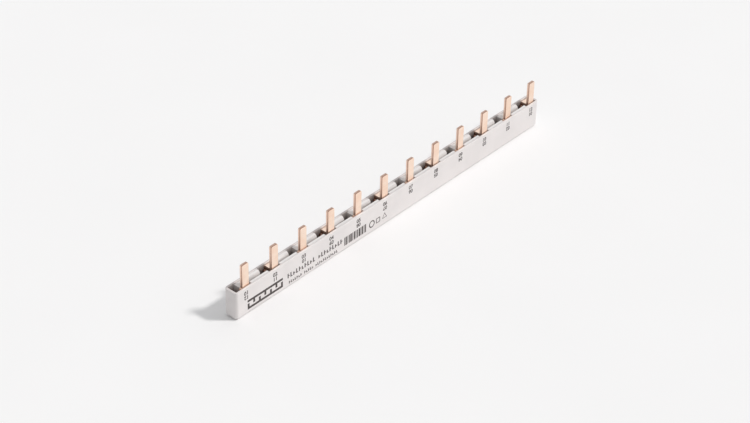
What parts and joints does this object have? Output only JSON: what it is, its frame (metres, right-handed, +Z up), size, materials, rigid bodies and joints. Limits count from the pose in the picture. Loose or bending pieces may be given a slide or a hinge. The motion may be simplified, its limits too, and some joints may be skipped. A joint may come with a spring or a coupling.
{
  "type": "comb busbar",
  "caption": "Slim insulated comb busbar: a row of copper pins stands out of a pale plastic housing and links a row of breakers.",
  "frame": {"origin": "middle of the flat base", "axes": "+X along the bar, -Y out of the printed front, +Z up along the pins"},
  "size_m": [0.2074, 0.0072, 0.0257],
  "materials": {
    "housing_plastic": "fine satin, moulded",
    "carrier_plastic": "fine satin, moulded",
    "copper": "bare rolled copper, stamped edges"
  },
  "bodies": {
    "root": {"housing": "housing_plastic", "carrier": "carrier_plastic", "front_comb": "copper", "rear_comb": "copper"}
  },
  "joints": []
}
